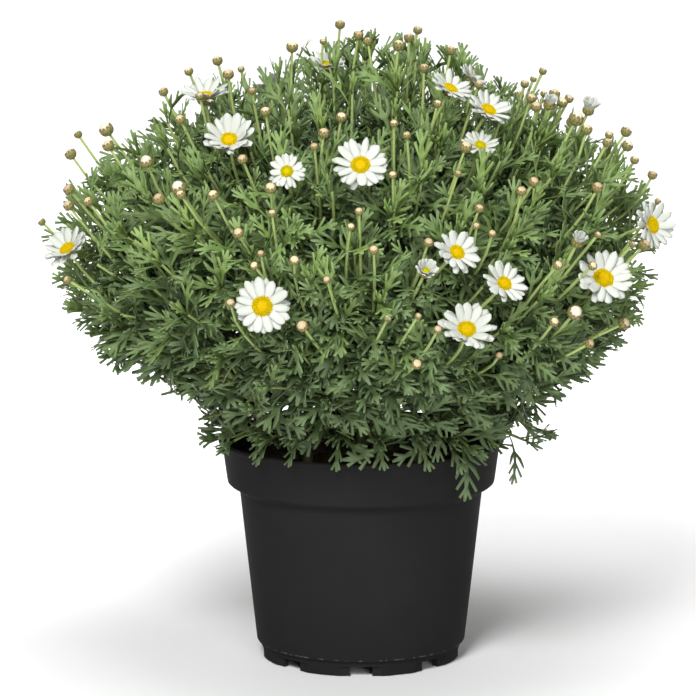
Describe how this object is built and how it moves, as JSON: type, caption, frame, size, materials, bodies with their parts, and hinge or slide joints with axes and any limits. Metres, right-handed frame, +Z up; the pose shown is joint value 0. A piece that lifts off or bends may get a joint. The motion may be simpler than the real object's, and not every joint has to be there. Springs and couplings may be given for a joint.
{
  "type": "potted marguerite daisy",
  "caption": "Bushy marguerite daisy in a black plastic nursery pot: a dome of deeply cut blue-green leaves with white daisies, yellow discs and round buds.",
  "frame": {"origin": "on the ground under the centre of the plant's bounding box, within 4 mm of the pot's axis", "axes": "+Z up, -Y towards the viewer of the picture, +X to the viewer's right"},
  "size_m": [0.4389, 0.4285, 0.4376],
  "materials": {
    "pot": "satin black injection-moulded plastic",
    "soil": null,
    "ray": "soft white petals; fabric stands in for petal tissue",
    "disc": "fine yellow florets; fabric stands in for floret tissue",
    "foliage": "matte blue-green leaves and light green stems; fabric stands in for leaf tissue"
  },
  "bodies": {
    "root": {"pot": "pot", "soil": "soil", "bloom_01_rays": "ray", "bloom_02_rays": "ray", "bloom_03_rays": "ray", "bloom_04_rays": "ray", "bloom_05_rays": "ray", "bloom_06_rays": "ray", "bloom_07_rays": "ray", "bloom_08_rays": "ray", "bloom_09_rays": "ray", "bloom_10_rays": "ray", "bloom_11_rays": "ray", "bloom_12_rays": "ray", "bloom_13_rays": "ray", "bloom_14_rays": "ray", "bloom_15_rays": "ray", "bloom_16_rays": "ray", "bloom_17_rays": "ray", "bloom_18_rays": "ray", "bloom_19_rays": "ray", "bloom_20_rays": "ray", "bloom_21_rays": "ray", "bloom_01_disc": "disc", "bloom_02_disc": "disc", "bloom_03_disc": "disc", "bloom_04_disc": "disc", "bloom_05_disc": "disc", "bloom_06_disc": "disc", "bloom_07_disc": "disc", "bloom_08_disc": "disc", "bloom_09_disc": "disc", "bloom_10_disc": "disc", "bloom_11_disc": "disc", "bloom_12_disc": "disc", "bloom_13_disc": "disc", "bloom_14_disc": "disc", "bloom_15_disc": "disc", "bloom_16_disc": "disc", "bloom_17_disc": "disc", "bloom_18_disc": "disc", "bloom_19_disc": "disc", "bloom_20_disc": "disc", "bloom_21_disc": "disc", "leafy_stem_01": "foliage", "leafy_stem_02": "foliage", "leafy_stem_03": "foliage", "leafy_stem_04": "foliage", "leafy_stem_05": "foliage", "leafy_stem_06": "foliage", "leafy_stem_07": "foliage", "leafy_stem_08": "foliage", "leafy_stem_09": "foliage", "leafy_stem_10": "foliage", "leafy_stem_11": "foliage", "leafy_stem_12": "foliage"}
  },
  "joints": []
}
